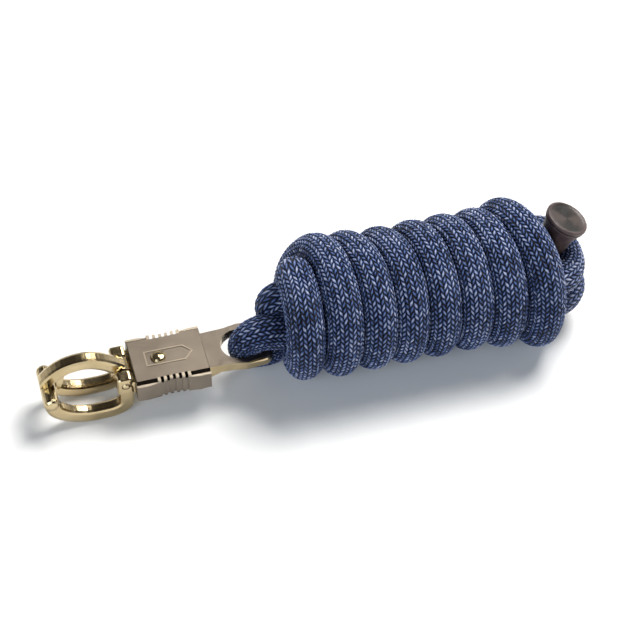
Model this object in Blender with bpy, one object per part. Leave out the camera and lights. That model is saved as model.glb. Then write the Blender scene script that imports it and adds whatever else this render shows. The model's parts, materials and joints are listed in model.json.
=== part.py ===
"""Lead rope for a horse: a braided rope wound into a hank, with a quick-release hook and a leather end cap.

Frame: +X from the hook towards the hank, +Y to the far side, +Z up. The origin is under the middle of
the hook, on the surface that everything lies on. Lengths below are in millimetres.
"""
import math

import bmesh
import bpy
from mathutils import Matrix, Vector

MM = 0.001
GAP = 0.3                       # clearance between pieces that touch or slide

# Hook: ring, neck, sleeve and eye, along X
HOOK_TIP_X = -55.0
HOOK_EYE_X = 55.0
HOOK_Z = 20.3                   # height of the shank's centre plane over the surface
CROSSBAR_R = 3.7
CROSSBAR_HALF = 12.4
CROSSBAR_X = HOOK_TIP_X + CROSSBAR_R
CROSSBAR_RISE = -1.9            # from the centre plane
PRONG_Y = 7.9
PRONG_W = 6.0
PRONG_T = 7.2
LUG_INNER_Y = 4.1
LUG_OUTER_Y = 10.9
LUG_END_X = -12.6
PIVOT_X = -16.0
PIVOT_RISE = 1.0
PIVOT_PIN_R = 1.8
KNUCKLE_R = 4.6
JAW_W = 6.6
JAW_T = 6.8
NECK_NOTCH_END_X = -6.2         # the fork of the neck is open back to here

# Release sleeve, its rivet and its spring
SLEEVE_L = 35.2
SLEEVE_W = 29.6
SLEEVE_TOP = 4.4                # over the centre plane of the plate; the shank is deeper below it
SLEEVE_BOTTOM = -7.1
SLEEVE_X = 6.3                  # middle of the sleeve at rest
SLEEVE_BORE_W = 22.4
SLEEVE_BORE_TOP = 2.9
SLEEVE_BORE_BOTTOM = -6.3
SLEEVE_WAIST = 1.8              # how far the long sides draw in at the middle
ARROW_HALF = 4.5
ARROW_BACK_X = -4.6
ARROW_SHOULDER_X = 14.2
ARROW_TIP_X = 18.4
ARROW_LINE = 0.7
ARROW_RAISE = 0.25
GRIP_X = (-1.2, 14.6)
GRIP_TEETH = 6
GRIP_LEDGE = 2.7                # width of the lowered edge at the ends of the sleeve
GRIP_DROP = 1.3
GRIP_DEPTH = 0.9                # how much deeper the gaps between the teeth are
RIB_DEPTH = 0.4                 # the gaps run on as shallow grooves down the sides
RIVET_X = 1.8
RIVET_SHANK_R = 1.8
RIVET_HEAD_R = 3.7
RIVET_HEAD_H = 1.9
SLOT_W = 6.8
SLOT_FRONT_X = RIVET_X - RIVET_SHANK_R - GAP
SLOT_REAR_X = 22.3
SPRING_RISE = -1.75             # the middle of the shank's depth
SPRING_WIRE_R = 0.42
SPRING_R = 2.45
SPRING_TURNS = 9

# Shank and eye
SHANK_HALF = 10.4
PLATE_HALF = 11.0
EYE_HALF = 12.2
PLATE_T = 5.0
KEEL_BOTTOM = -6.0              # underside of the deep part of the shank, below the centre plane
EYE_HOLE_HALF = 8.9
EYE_HOLE_FRONT_X = 31.7
EYE_BAR = 4.6

# Rope and hank
ROPE_D = 18.0
WRAPS = 8
WRAP_PITCH = 15.8
WRAP_R = 23.5                   # axis of the hank to the middle of the rope
FIRST_WRAP_X = 67.5
HANK_Y = 2.8
ROPE_BULGE = 9.7                # half the height of one turn, squeezed narrow by its neighbours
HANK_FLAT = 0.25                # how far the turns are pressed flat where they lie
HANK_Z = WRAP_R + ROPE_BULGE - HANK_FLAT
HANK_SIDE = 8.6                 # half the width of one squeezed turn
HANK_HOLLOW_R = 14.0
HANK_HOLLOW_X = 176.2
LAST_WRAP_X = FIRST_WRAP_X + (WRAPS - 1) * WRAP_PITCH
HANK_FRONT_X = FIRST_WRAP_X - HANK_SIDE
HANK_REAR_X = LAST_WRAP_X + HANK_SIDE

# End cap: the middle of its disc and the direction it points
CAP_TOP = Vector((201.8, 4.5, 61.2))
CAP_DIRECTION = Vector((0.434, -0.016, 0.901)).normalized()
CAP_L = 24.0
CAP_R = 7.7
CAP_BORE_R = 6.6
CAP_FLARE_R = 10.0
CAP_FLARE_L = 7.0
DISC_R = 10.3
DISC_T = 2.0

# Route points of the rope where it is not wound: (x, y, z) of its middle and its squeezed radius
EYE_LOOP = (
    (58.4, 4.6, 9.2, 7.6), (55.5, 4.6, 8.8, 7.6), (51.5, 4.3, 8.8, 7.4), (47.0, 3.0, 10.6, 7.1),
    (43.7, 1.6, 14.6, 6.9), (42.4, 0.2, 20.3, 6.9), (43.7, -1.4, 26.0, 7.1), (47.2, -3.0, 29.9, 7.3),
    (52.6, -4.2, 31.2, 7.4), (58.4, -4.2, 31.2, 7.4),
)
LOWER_BIGHT = (
    (187.2, -9.9, 19.5, 6.8), (190.5, -9.9, 19.4, 7.1), (196.4, -8.1, 18.8, 7.2), (199.8, -1.9, 18.5, 7.1),
    (199.2, 5.1, 18.7, 7.0), (195.2, 10.1, 19.4, 6.8), (190.5, 12.1, 20.2, 6.6), (187.2, 12.1, 20.4, 6.5),
)
UPPER_BIGHT = (
    (187.4, -10.3, 35.1, 5.6), (190.6, -10.3, 35.0, 5.7), (199.4, -6.9, 33.2, 5.8), (203.6, 2.5, 32.2, 6.0),
    (202.8, 10.1, 31.8, 6.2), (198.6, 17.1, 31.2, 6.5), (191.4, 21.4, 29.9, 6.8), (187.4, 21.4, 29.8, 7.0),
)
FREE_END_START = ((178.4, 5.7, 29.2, 6.0), (182.4, 5.4, 30.4, 6.2), (186.4, 5.15, 33.2, 6.2))

NAVY = (0.03, 0.06, 0.17)
SATIN = (0.55, 0.49, 0.43)
CHAMPAGNE = (0.66, 0.58, 0.40)
STEEL = (0.55, 0.55, 0.56)
LEATHER = (0.09, 0.045, 0.03)


# ---------------------------------------------------------------- helpers

def clear_scene():
    for old in list(bpy.data.objects):
        bpy.data.objects.remove(old, do_unlink=True)


def material(name, colour, roughness, metallic):
    mat = bpy.data.materials.new(name)
    mat.use_nodes = True
    shader = mat.node_tree.nodes["Principled BSDF"]
    shader.inputs["Base Color"].default_value = (*colour, 1.0)
    shader.inputs["Roughness"].default_value = roughness
    shader.inputs["Metallic"].default_value = metallic
    mat.diffuse_color = (*colour, 1.0)
    return mat


def mesh_object(name, bm, mat=None):
    bmesh.ops.recalc_face_normals(bm, faces=bm.faces)
    mesh = bpy.data.meshes.new(name)
    bm.to_mesh(mesh)
    bm.free()
    mesh.shade_smooth()
    mesh.set_sharp_from_angle(angle=math.radians(35))
    obj = bpy.data.objects.new(name, mesh)
    bpy.context.collection.objects.link(obj)
    if mat:
        mesh.materials.append(mat)
    return obj


def bake_modifiers(obj):
    """Replace the object's mesh by its evaluated mesh."""
    bpy.context.view_layer.update()
    graph = bpy.context.evaluated_depsgraph_get()
    result = bpy.data.meshes.new_from_object(obj.evaluated_get(graph))
    obj.modifiers.clear()
    obj.data = result
    bm = bmesh.new()
    bm.from_mesh(result)
    bmesh.ops.triangulate(bm, faces=[face for face in bm.faces if len(face.verts) > 4])
    bm.to_mesh(result)
    bm.free()


def combine(target, tool, operation):
    """Union or cut target with tool, and remove the tool."""
    step = target.modifiers.new("combine", "BOOLEAN")
    step.operation = operation
    step.solver = "EXACT"
    step.object = tool
    bake_modifiers(target)
    bpy.data.objects.remove(tool, do_unlink=True)
    return target


def joined(name, objects):
    """One object that holds the separate solids of several."""
    bm = bmesh.new()
    for obj in objects:
        bm.from_mesh(obj.data)
        bpy.data.objects.remove(obj, do_unlink=True)
    return mesh_object(name, bm)


def finish_part(obj, mat, origin):
    """Weld, shade and colour a part, and put its origin at the given point (millimetres)."""
    bm = bmesh.new()
    bm.from_mesh(obj.data)
    bmesh.ops.remove_doubles(bm, verts=bm.verts, dist=0.000001)
    shift = Vector(origin) * MM
    bmesh.ops.translate(bm, verts=bm.verts, vec=-shift)
    bm.to_mesh(obj.data)
    bm.free()
    obj.location = shift
    obj.data.materials.clear()
    obj.data.materials.append(mat)
    obj.data.shade_smooth()
    obj.data.set_sharp_from_angle(angle=math.radians(35))
    return obj


def block(name, x0, x1, y0, y1, z0, z1, round_edge=0.0, segments=2):
    """A box between two corners, in millimetres, with rounded edges."""
    bm = bmesh.new()
    bmesh.ops.create_cube(bm, size=1.0)
    bmesh.ops.scale(bm, verts=bm.verts, vec=Vector((x1 - x0, y1 - y0, z1 - z0)) * MM)
    bmesh.ops.translate(bm, verts=bm.verts, vec=Vector((x0 + x1, y0 + y1, z0 + z1)) * MM / 2)
    if round_edge:
        bmesh.ops.bevel(
            bm, geom=bm.edges, offset=round_edge * MM, segments=segments, affect="EDGES", profile=0.5)
    return mesh_object(name, bm)


def extruded(name, outline, z0, z1, round_edge=0.0, segments=2):
    """A closed XY outline raised from z0 to z1, with its rim rounded."""
    bm = bmesh.new()
    base = [bm.verts.new(Vector((x, y, z0)) * MM) for x, y in outline]
    top = [bm.verts.new(Vector((x, y, z1)) * MM) for x, y in outline]
    bm.faces.new(base)
    bm.faces.new(top)
    rim = []
    for i in range(len(outline)):
        j = (i + 1) % len(outline)
        bm.faces.new((base[i], base[j], top[j], top[i]))
        rim.append(bm.edges.get((base[i], base[j])))
        rim.append(bm.edges.get((top[i], top[j])))
    if round_edge:
        bmesh.ops.bevel(
            bm, geom=rim, offset=round_edge * MM, segments=segments, affect="EDGES", profile=0.5)
    return mesh_object(name, bm)


def lengthwise(name, outline, x0, x1):
    """A (y, z) outline drawn out along X."""
    bm = bmesh.new()
    front = [bm.verts.new(Vector((x0, y, z)) * MM) for y, z in outline]
    rear = [bm.verts.new(Vector((x1, y, z)) * MM) for y, z in outline]
    bm.faces.new(front)
    bm.faces.new(rear)
    for i in range(len(outline)):
        j = (i + 1) % len(outline)
        bm.faces.new((front[i], front[j], rear[j], rear[i]))
    return mesh_object(name, bm)


def side_plate(name, outline, half_width):
    """An (x, rise) outline in the XZ plane, thickened to both sides of Y = 0."""
    bm = bmesh.new()
    near = [bm.verts.new(Vector((x, -half_width, HOOK_Z + z)) * MM) for x, z in outline]
    far = [bm.verts.new(Vector((x, half_width, HOOK_Z + z)) * MM) for x, z in outline]
    bm.faces.new(near)
    bm.faces.new(far)
    for i in range(len(outline)):
        j = (i + 1) % len(outline)
        bm.faces.new((near[i], near[j], far[j], far[i]))
    return mesh_object(name, bm)


def turned(name, profile, segments, place):
    """A solid of revolution about its own Z, from (radius, height) points, moved by the place matrix."""
    bm = bmesh.new()
    rings = []
    for radius, height in profile:
        if radius < 1e-6:
            rings.append([bm.verts.new((0, 0, height * MM))])
            continue
        ring = []
        for k in range(segments):
            angle = 2 * math.pi * k / segments
            spot = Vector((radius * math.cos(angle), radius * math.sin(angle), height))
            ring.append(bm.verts.new(spot * MM))
        rings.append(ring)
    for low, high in zip(rings, rings[1:]):
        for k in range(segments):
            n = (k + 1) % segments
            corners = [low[k % len(low)], low[n % len(low)], high[n % len(high)], high[k % len(high)]]
            bm.faces.new(list(dict.fromkeys(corners)))
    bmesh.ops.transform(bm, matrix=place, verts=bm.verts)
    return mesh_object(name, bm)


def hollow_turned(name, profile, segments, place):
    """A turned tube: the last profile point joins back to the first."""
    bm = bmesh.new()
    rings = []
    for radius, height in profile:
        ring = []
        for k in range(segments):
            angle = 2 * math.pi * k / segments
            spot = Vector((radius * math.cos(angle), radius * math.sin(angle), height))
            ring.append(bm.verts.new(spot * MM))
        rings.append(ring)
    for low, high in zip(rings, rings[1:] + rings[:1]):
        for k in range(segments):
            n = (k + 1) % segments
            bm.faces.new((low[k], low[n], high[n], high[k]))
    bmesh.ops.transform(bm, matrix=place, verts=bm.verts)
    return mesh_object(name, bm)


def place_along(direction, point):
    """A matrix that sends +Z to the direction and the origin to the point (millimetres)."""
    turn = Vector((0, 0, 1)).rotation_difference(Vector(direction).normalized())
    return Matrix.Translation(Vector(point) * MM) @ turn.to_matrix().to_4x4()


def arc(centre, radius, start, end, steps):
    """Points on an arc, angles in degrees."""
    points = []
    for i in range(steps + 1):
        angle = math.radians(start + (end - start) * i / steps)
        points.append((centre[0] + radius * math.cos(angle), centre[1] + radius * math.sin(angle)))
    return points


def smooth_curve(points, per_span):
    """Points on a Catmull-Rom curve through the given points; works for any number of coordinates."""
    first = [2 * a - b for a, b in zip(points[0], points[1])]
    last = [2 * a - b for a, b in zip(points[-1], points[-2])]
    guide = [first, *points, last]
    result = []
    for i in range(len(points) - 1):
        p0, p1, p2, p3 = guide[i:i + 4]
        for k in range(per_span):
            t = k / per_span
            spot = []
            for a, b, c, d in zip(p0, p1, p2, p3):
                square = 2 * a - 5 * b + 4 * c - d
                cube = 3 * b - a - 3 * c + d
                spot.append(0.5 * (2 * b + (c - a) * t + square * t ** 2 + cube * t ** 3))
            result.append(tuple(spot))
    result.append(tuple(points[-1]))
    return result


def swept_bar(name, route, width, thickness, corner, y_middle=0.0):
    """A bar of rounded rectangular section along a smooth route of (x, rise) points in the XZ plane."""
    path = [Vector((x, z)) for x, z in smooth_curve(route, 3)]
    half_w = width / 2 - corner
    half_t = thickness / 2 - corner
    section = []
    for centre, start in (((half_w, half_t), 0), ((-half_w, half_t), 90), ((-half_w, -half_t), 180),
                          ((half_w, -half_t), 270)):
        section += arc(centre, corner, start, start + 90, 2)
    bm = bmesh.new()
    rings = []
    for i, point in enumerate(path):
        tangent = (path[min(i + 1, len(path) - 1)] - path[max(i - 1, 0)]).normalized()
        normal = Vector((-tangent.y, tangent.x))
        ring = []
        for across, up in section:
            spot = point + normal * up
            ring.append(bm.verts.new(Vector((spot.x, y_middle + across, HOOK_Z + spot.y)) * MM))
        rings.append(ring)
    count = len(section)
    for low, high in zip(rings, rings[1:]):
        for k in range(count):
            n = (k + 1) % count
            bm.faces.new((low[k], low[n], high[n], high[k]))
    bm.faces.new(rings[0])
    bm.faces.new(rings[-1])
    return mesh_object(name, bm)


def rope_tube(name, route, mat, per_span=1):
    """A plain round tube along a smooth route of (x, y, z, radius) points."""
    points = smooth_curve(route, per_span)
    curve = bpy.data.curves.new(name, "CURVE")
    curve.dimensions = "3D"
    curve.bevel_depth = MM
    curve.bevel_resolution = 2
    curve.use_fill_caps = True
    spline = curve.splines.new("POLY")
    spline.points.add(len(points) - 1)
    for spot, (x, y, z, radius) in zip(spline.points, points):
        spot.co = (x * MM, y * MM, z * MM, 1.0)
        spot.radius = radius
    curve.materials.append(mat)
    obj = bpy.data.objects.new(name, curve)
    bpy.context.collection.objects.link(obj)
    return obj


# ---------------------------------------------------------------- hook

def hook_body(mat):
    """Eye plate, shank, neck lugs, the fork of the fixed jaw and the crossbar at its tip, cast in one."""
    corner = 5.0
    outline = arc((HOOK_EYE_X - corner, EYE_HALF - corner), corner, 0, 90, 4)
    outline += [(42.0, EYE_HALF), (35.0, PLATE_HALF), (20.0, SHANK_HALF), (-14.0, SHANK_HALF)]
    outline += [(x, -y) for x, y in reversed(outline)]
    body = extruded("hook_body", outline, HOOK_Z - PLATE_T / 2, HOOK_Z + PLATE_T / 2, 1.2, 2)
    keel = [(-13.8, 1.5), (-13.8, KEEL_BOTTOM), (24.5, KEEL_BOTTOM), (34.0, -1.8), (34.0, 1.5)]
    combine(body, side_plate("keel", keel, SHANK_HALF - 0.5), "UNION")

    hole_end = HOOK_EYE_X - EYE_BAR
    hole = arc((hole_end - 2.6, EYE_HOLE_HALF - 2.6), 2.6, 0, 90, 3)
    hole += arc((EYE_HOLE_FRONT_X + EYE_HOLE_HALF, 0), EYE_HOLE_HALF, 90, 270, 14)
    hole += arc((hole_end - 2.6, 2.6 - EYE_HOLE_HALF), 2.6, 270, 360, 3)
    combine(body, extruded("eye_cut", hole, HOOK_Z - 8, HOOK_Z + 8), "DIFFERENCE")

    route = [
        (CROSSBAR_X, CROSSBAR_RISE), (-50.2, -7.2), (-47.8, -10.4), (-43.0, -13.9), (-35.4, -16.3),
        (-28.8, -16.7), (-22.4, -16.3), (-17.9, -14.5), (-15.9, -11.2), (-15.6, -6.0), (-15.7, 0.0),
    ]
    for side in (-1, 1):
        combine(body, swept_bar("prong", route, PRONG_W, PRONG_T, 1.5, side * PRONG_Y), "UNION")
        near, far = sorted((side * LUG_INNER_Y, side * LUG_OUTER_Y))
        lug = block("lug", -20.0, LUG_END_X, near, far, HOOK_Z - 5.6, HOOK_Z + 5.8, 1.6, 3)
        combine(body, lug, "UNION")

    half = CROSSBAR_HALF
    rounded = [(0, half), (1.5, half - 0.1), (2.7, half - 0.6), (3.4, half - 1.4), (CROSSBAR_R, half - 2.4)]
    knob = [(radius, -y) for radius, y in rounded] + rounded[::-1]
    place = place_along((0, 1, 0), (CROSSBAR_X, 0, HOOK_Z + CROSSBAR_RISE))
    combine(body, turned("crossbar", knob, 20, place), "UNION")

    notch = block("notch", -30, NECK_NOTCH_END_X, -LUG_INNER_Y, LUG_INNER_Y, HOOK_Z - 8.5, HOOK_Z + 8)
    combine(body, notch, "DIFFERENCE")
    slot = block("slot", SLOT_FRONT_X, SLOT_REAR_X, -SLOT_W / 2, SLOT_W / 2, HOOK_Z - 8, HOOK_Z + 8)
    combine(body, slot, "DIFFERENCE")
    bore = [(0, -14), (PIVOT_PIN_R + GAP, -14), (PIVOT_PIN_R + GAP, 14), (0, 14)]
    place = place_along((0, 1, 0), (PIVOT_X, 0, HOOK_Z + PIVOT_RISE))
    combine(body, turned("pin_bore", bore, 16, place), "DIFFERENCE")
    return finish_part(body, mat, (0, 0, HOOK_Z))


def moving_jaw(mat):
    """The single arm between the lugs: knuckle, tail under the sleeve, arched arm and a tooth at its tip."""
    pivot = (PIVOT_X, 0, HOOK_Z + PIVOT_RISE)
    route = [
        (-54.6, -1.6), (-52.4, 3.1), (-48.4, 7.5), (-42.8, 11.1), (-36.2, 12.5), (-30.6, 12.0), (-25.2, 9.6),
        (-20.2, 6.0), (PIVOT_X, 2.2),
    ]
    jaw = swept_bar("moving_jaw", route, JAW_W, JAW_T, 1.6)
    knuckle_half = LUG_INNER_Y - GAP
    profile = [(0, -knuckle_half), (KNUCKLE_R, -knuckle_half), (KNUCKLE_R, knuckle_half), (0, knuckle_half)]
    combine(jaw, turned("knuckle", profile, 20, place_along((0, 1, 0), pivot)), "UNION")

    tail_half = JAW_W / 2 - 0.2
    tail = [(PIVOT_X, 3.4), (-9.4, 2.3), (-8.5, 1.3), (-8.5, -3.4), (-9.5, -4.4), (-12.6, -4.4)]
    tail.append((PIVOT_X, -3.2))
    combine(jaw, side_plate("tail", tail, tail_half), "UNION")
    tooth = [(-47.2, 7.0), (-47.2, -0.3), (-46.6, -1.0), (-45.7, -0.6), (-44.2, 4.0), (-42.8, 9.0)]
    combine(jaw, side_plate("tooth", tooth, JAW_W / 2 - 0.35), "UNION")

    under = CROSSBAR_RISE + CROSSBAR_R + GAP
    combine(jaw, block("tip_cut", -60, -47.3, -9, 9, HOOK_Z - 8, HOOK_Z + under), "DIFFERENCE")
    combine(jaw, block("nose_cut", -60, HOOK_TIP_X, -9, 9, HOOK_Z - 8, HOOK_Z + 9), "DIFFERENCE")
    bore = [(0, -9), (PIVOT_PIN_R + GAP, -9), (PIVOT_PIN_R + GAP, 9), (0, 9)]
    combine(jaw, turned("jaw_bore", bore, 16, place_along((0, 1, 0), pivot)), "DIFFERENCE")
    return finish_part(jaw, mat, pivot)


def jaw_pin(mat):
    """The cross pin of the moving jaw, its ends peened into low domes."""
    half = LUG_OUTER_Y + 0.2
    profile = [(0, -half - 0.5), (1.2, -half - 0.3), (PIVOT_PIN_R, -half + 0.3), (PIVOT_PIN_R, half - 0.3)]
    profile += [(1.2, half + 0.3), (0, half + 0.5)]
    pivot = (PIVOT_X, 0, HOOK_Z + PIVOT_RISE)
    return finish_part(turned("jaw_pin", profile, 16, place_along((0, 1, 0), pivot)), mat, pivot)


def arrow_outline(half, back_x, short):
    """A box that runs out into a point towards the eye, drawn round the rivet."""
    shoulder = ARROW_SHOULDER_X - short * 0.3
    return [(back_x, -half), (shoulder, -half), (ARROW_TIP_X - short, 0), (shoulder, half), (back_x, half)]


def release_sleeve(mat):
    """The sliding sleeve: a flat tube with notched grips along its long edges and an arrow on top."""
    front = SLEEVE_X - SLEEVE_L / 2
    rear = SLEEVE_X + SLEEVE_L / 2
    side = SLEEVE_W / 2
    waist = SLEEVE_WAIST
    outline = []
    for x, y in ((front, side), (front + 5, side), (SLEEVE_X, side - waist), (rear - 5, side), (rear, side)):
        outline.append((x, y))
    outline += [(x, -y) for x, y in reversed(outline)]
    top = HOOK_Z + SLEEVE_TOP
    sleeve = extruded("release_sleeve", outline, HOOK_Z + SLEEVE_BOTTOM, top, 0.5, 2)
    bore = block("sleeve_bore", front - 5, rear + 5, -SLEEVE_BORE_W / 2, SLEEVE_BORE_W / 2,
                 HOOK_Z + SLEEVE_BORE_BOTTOM, HOOK_Z + SLEEVE_BORE_TOP)
    combine(sleeve, bore, "DIFFERENCE")

    pitch = (GRIP_X[1] - GRIP_X[0]) / (GRIP_TEETH - 0.5)
    gaps = []
    for k in range(GRIP_TEETH + 1):
        gaps.append((GRIP_X[0] + (k - 0.5) * pitch, GRIP_X[0] + k * pitch))
    ledge = side - GRIP_LEDGE
    cuts = []
    for sign in (-1, 1):
        step = [(ledge, top - 0.1), (ledge + GRIP_DROP, top - GRIP_DROP), (side + 1, top - GRIP_DROP)]
        step += [(side + 1, top + 1), (ledge, top + 1)]
        for x0, x1 in ((front - 1, gaps[0][1]), (gaps[-1][0], rear + 1)):
            cuts.append(lengthwise("ledge_cut", [(sign * y, z) for y, z in step], x0, x1))
        low = top - GRIP_DROP - GRIP_DEPTH
        for x0, x1 in gaps[1:-1]:
            offset = abs((x0 + x1) / 2 - SLEEVE_X) / (SLEEVE_L / 2 - 5)
            wall = side - waist * (1 - offset) - RIB_DEPTH
            notch = [(ledge - 0.5, top + 1), (ledge - 0.5, top - 0.25), (wall, low), (wall, top - 13)]
            notch += [(side + 1, top - 13), (side + 1, top + 1)]
            cuts.append(lengthwise("tooth_cut", [(sign * y, z) for y, z in notch], x0, x1))
    combine(sleeve, joined("grip_cuts", cuts), "DIFFERENCE")

    frame = extruded("arrow", arrow_outline(ARROW_HALF, ARROW_BACK_X, 0.0), top - 0.3, top + ARROW_RAISE)
    inner = arrow_outline(ARROW_HALF - ARROW_LINE, ARROW_BACK_X + ARROW_LINE, ARROW_LINE * 1.3)
    combine(frame, extruded("arrow_core", inner, top - 1, top + 2), "DIFFERENCE")
    combine(sleeve, frame, "UNION")

    hole_r = RIVET_SHANK_R + GAP
    profile = [(0, -10), (hole_r, -10), (hole_r, 10), (0, 10)]
    place = place_along((0, 0, 1), (RIVET_X, 0, HOOK_Z))
    combine(sleeve, turned("rivet_hole", profile, 16, place), "DIFFERENCE")
    return finish_part(sleeve, mat, (SLEEVE_X, 0, HOOK_Z))


def sleeve_rivet(mat):
    """The rivet that holds the sleeve on the shank: domed heads and a shank that runs in the slot."""
    profile = []
    for seat, sense in ((SLEEVE_TOP + 0.02, 1), (SLEEVE_BOTTOM - 0.02, -1)):
        head = [(0, seat + sense * RIVET_HEAD_H)]
        for angle in (66, 44, 24, 8):
            turn = math.radians(angle)
            head.append((RIVET_HEAD_R * math.cos(turn), seat + sense * RIVET_HEAD_H * math.sin(turn)))
        head += [(RIVET_HEAD_R - 0.1, seat), (RIVET_SHANK_R, seat)]
        profile += head[::sense]
    middle = (RIVET_X, 0, HOOK_Z)
    return finish_part(turned("sleeve_rivet", profile, 20, place_along((0, 0, 1), middle)), mat, middle)


def return_spring(mat):
    """The coil spring in the slot of the shank, which pushes the rivet and its sleeve towards the jaws."""
    start = RIVET_X + RIVET_SHANK_R + GAP + SPRING_WIRE_R
    end = SLOT_REAR_X - GAP - SPRING_WIRE_R
    steps = SPRING_TURNS * 12
    bm = bmesh.new()
    rings = []
    for i in range(steps + 1):
        along = i / steps
        angle = 2 * math.pi * SPRING_TURNS * along
        outward = Vector((0, math.cos(angle), math.sin(angle)))
        centre = Vector((start + (end - start) * along, 0, HOOK_Z + SPRING_RISE)) + outward * SPRING_R
        ring = []
        for k in range(6):
            turn = 2 * math.pi * k / 6
            spot = centre + outward * SPRING_WIRE_R * math.cos(turn)
            spot.x += SPRING_WIRE_R * math.sin(turn)
            ring.append(bm.verts.new(spot * MM))
        rings.append(ring)
    for low, high in zip(rings, rings[1:]):
        for k in range(6):
            n = (k + 1) % 6
            bm.faces.new((low[k], low[n], high[n], high[k]))
    bm.faces.new(rings[0])
    bm.faces.new(rings[-1])
    return finish_part(mesh_object("return_spring", bm), mat, (end, 0, HOOK_Z + SPRING_RISE))


# ---------------------------------------------------------------- rope

def hank_profile():
    """Radius and distance along the hank, from the hollow at the free end round to the flat hook end."""
    half = HANK_SIDE
    bulge = ROPE_BULGE
    rear_fall = [(WRAP_R + bulge * math.cos(a), LAST_WRAP_X + half * math.sin(a))
                 for a in (math.radians(d) for d in (180, 150, 120, 90, 60, 30))]
    rear_fall[0] = (HANK_HOLLOW_R, LAST_WRAP_X)
    profile = [(0, HANK_HOLLOW_X), (HANK_HOLLOW_R, HANK_HOLLOW_X), *rear_fall]
    for wrap in reversed(range(WRAPS)):
        middle = FIRST_WRAP_X + wrap * WRAP_PITCH
        profile.append((WRAP_R + bulge, middle))
        if wrap:
            profile.append((WRAP_R + bulge - 0.9, middle - 4.4))
            profile.append((WRAP_R + bulge - 3.4, middle - WRAP_PITCH / 2))
            profile.append((WRAP_R + bulge - 0.9, middle - WRAP_PITCH + 4.4))
    profile += [(WRAP_R + 7.8, FIRST_WRAP_X - 4.3), (WRAP_R + 4.5, FIRST_WRAP_X - 7.45)]
    profile += [(WRAP_R, HANK_FRONT_X), (0, HANK_FRONT_X)]
    return profile


def rope_hank(mat):
    """The outer shape of the wound turns, pressed a little flat where it lies."""
    place = place_along((1, 0, 0), (0, HANK_Y, HANK_Z))
    hank = turned("rope_hank", hank_profile(), 28, place)
    floor = block("floor", -300, 400, -200, 200, -60, 0)
    combine(hank, floor, "DIFFERENCE")
    return finish_part(hank, mat, (FIRST_WRAP_X, HANK_Y, HANK_Z))


def rope_left_bight(mat):
    """The fold of rope that looks out of the hook end of the hank, as a plain dome."""
    radius = 8.0
    length = 8.6
    profile = [(0, 0), (radius, 0)]
    for step in (18, 36, 54, 72):
        angle = math.radians(step)
        profile.append((radius * math.cos(angle), length * math.sin(angle)))
    profile.append((0, length))
    base = (HANK_FRONT_X - GAP, 8.7, 41.2)
    return finish_part(turned("rope_left_bight", profile, 14, place_along((-1, 0, 0), base)), mat, base)


# ---------------------------------------------------------------- end cap

def cap_point(along):
    return CAP_TOP + CAP_DIRECTION * along


def free_end_route():
    """The rope from the hollow of the hank up into the cap."""
    route = list(FREE_END_START)
    for along in (-26.0, -20.5, -15.0, -9.5, -DISC_T - 2 * GAP):
        route.append((*cap_point(along), CAP_BORE_R - 0.4))
    return route


def cap_sleeve(mat):
    """The leather tube on the rope's end, flared to meet its disc."""
    flare_start = CAP_L - CAP_FLARE_L
    profile = [(CAP_BORE_R, 0.0), (CAP_BORE_R + 0.3, -0.25), (CAP_R - 0.3, -0.25), (CAP_R, 0.1)]
    profile.append((CAP_R, flare_start))
    for i in range(1, 6):
        part = i / 5
        profile.append((CAP_R + (CAP_FLARE_R - CAP_R) * part ** 2, flare_start + CAP_FLARE_L * part))
    profile.append((CAP_BORE_R, CAP_L))
    place = place_along(CAP_DIRECTION, cap_point(-CAP_L - DISC_T - GAP))
    return finish_part(hollow_turned("cap_sleeve", profile, 24, place), mat, cap_point(-CAP_L))


def cap_disc(mat):
    """The leather disc that closes the cap, slightly dished on top."""
    profile = [(0, 0), (DISC_R - 0.7, 0), (DISC_R, 0.6), (DISC_R, DISC_T - 0.6), (DISC_R - 0.6, DISC_T)]
    profile += [(DISC_R - 2.2, DISC_T - 0.25), (0, DISC_T - 0.35)]
    place = place_along(CAP_DIRECTION, cap_point(-DISC_T))
    return finish_part(turned("cap_disc", profile, 24, place), mat, CAP_TOP)


# ---------------------------------------------------------------- assembly

def build():
    clear_scene()
    brass = material("polished_brass", CHAMPAGNE, 0.18, 1.0)
    satin = material("satin_plate", SATIN, 0.38, 1.0)
    steel = material("spring_steel", STEEL, 0.3, 1.0)
    rope = material("navy_braid", NAVY, 0.75, 0.0)
    leather = material("brown_leather", LEATHER, 0.5, 0.0)

    hook_body(brass)
    moving_jaw(brass)
    jaw_pin(brass)
    release_sleeve(satin)
    sleeve_rivet(brass)
    return_spring(steel)

    rope_hank(rope)
    rope_left_bight(rope)
    rope_tube("rope_eye_loop", EYE_LOOP, rope, 2)
    rope_tube("rope_lower_bight", LOWER_BIGHT, rope, 2)
    rope_tube("rope_upper_bight", UPPER_BIGHT, rope, 2)
    rope_tube("rope_free_end", free_end_route(), rope, 2)
    cap_sleeve(leather)
    cap_disc(leather)


build()
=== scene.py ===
"""Looks for the lead rope: the whole braided rope on its real route, the plated hook and the leather cap.

The object's sizes are in millimetres, and MM turns them into the scene's metres. The camera, the floor and
the lights are placed in metres. +X runs from the hook towards the hank, and +Z is up. The rope is one body,
which takes the place of the frame's six plain rope solids and runs on through the hidden core of the hank.
"""
import json
import math

import bmesh
import bpy
import numpy as np
from mathutils import Matrix, Vector
from mathutils.kdtree import KDTree


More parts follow.
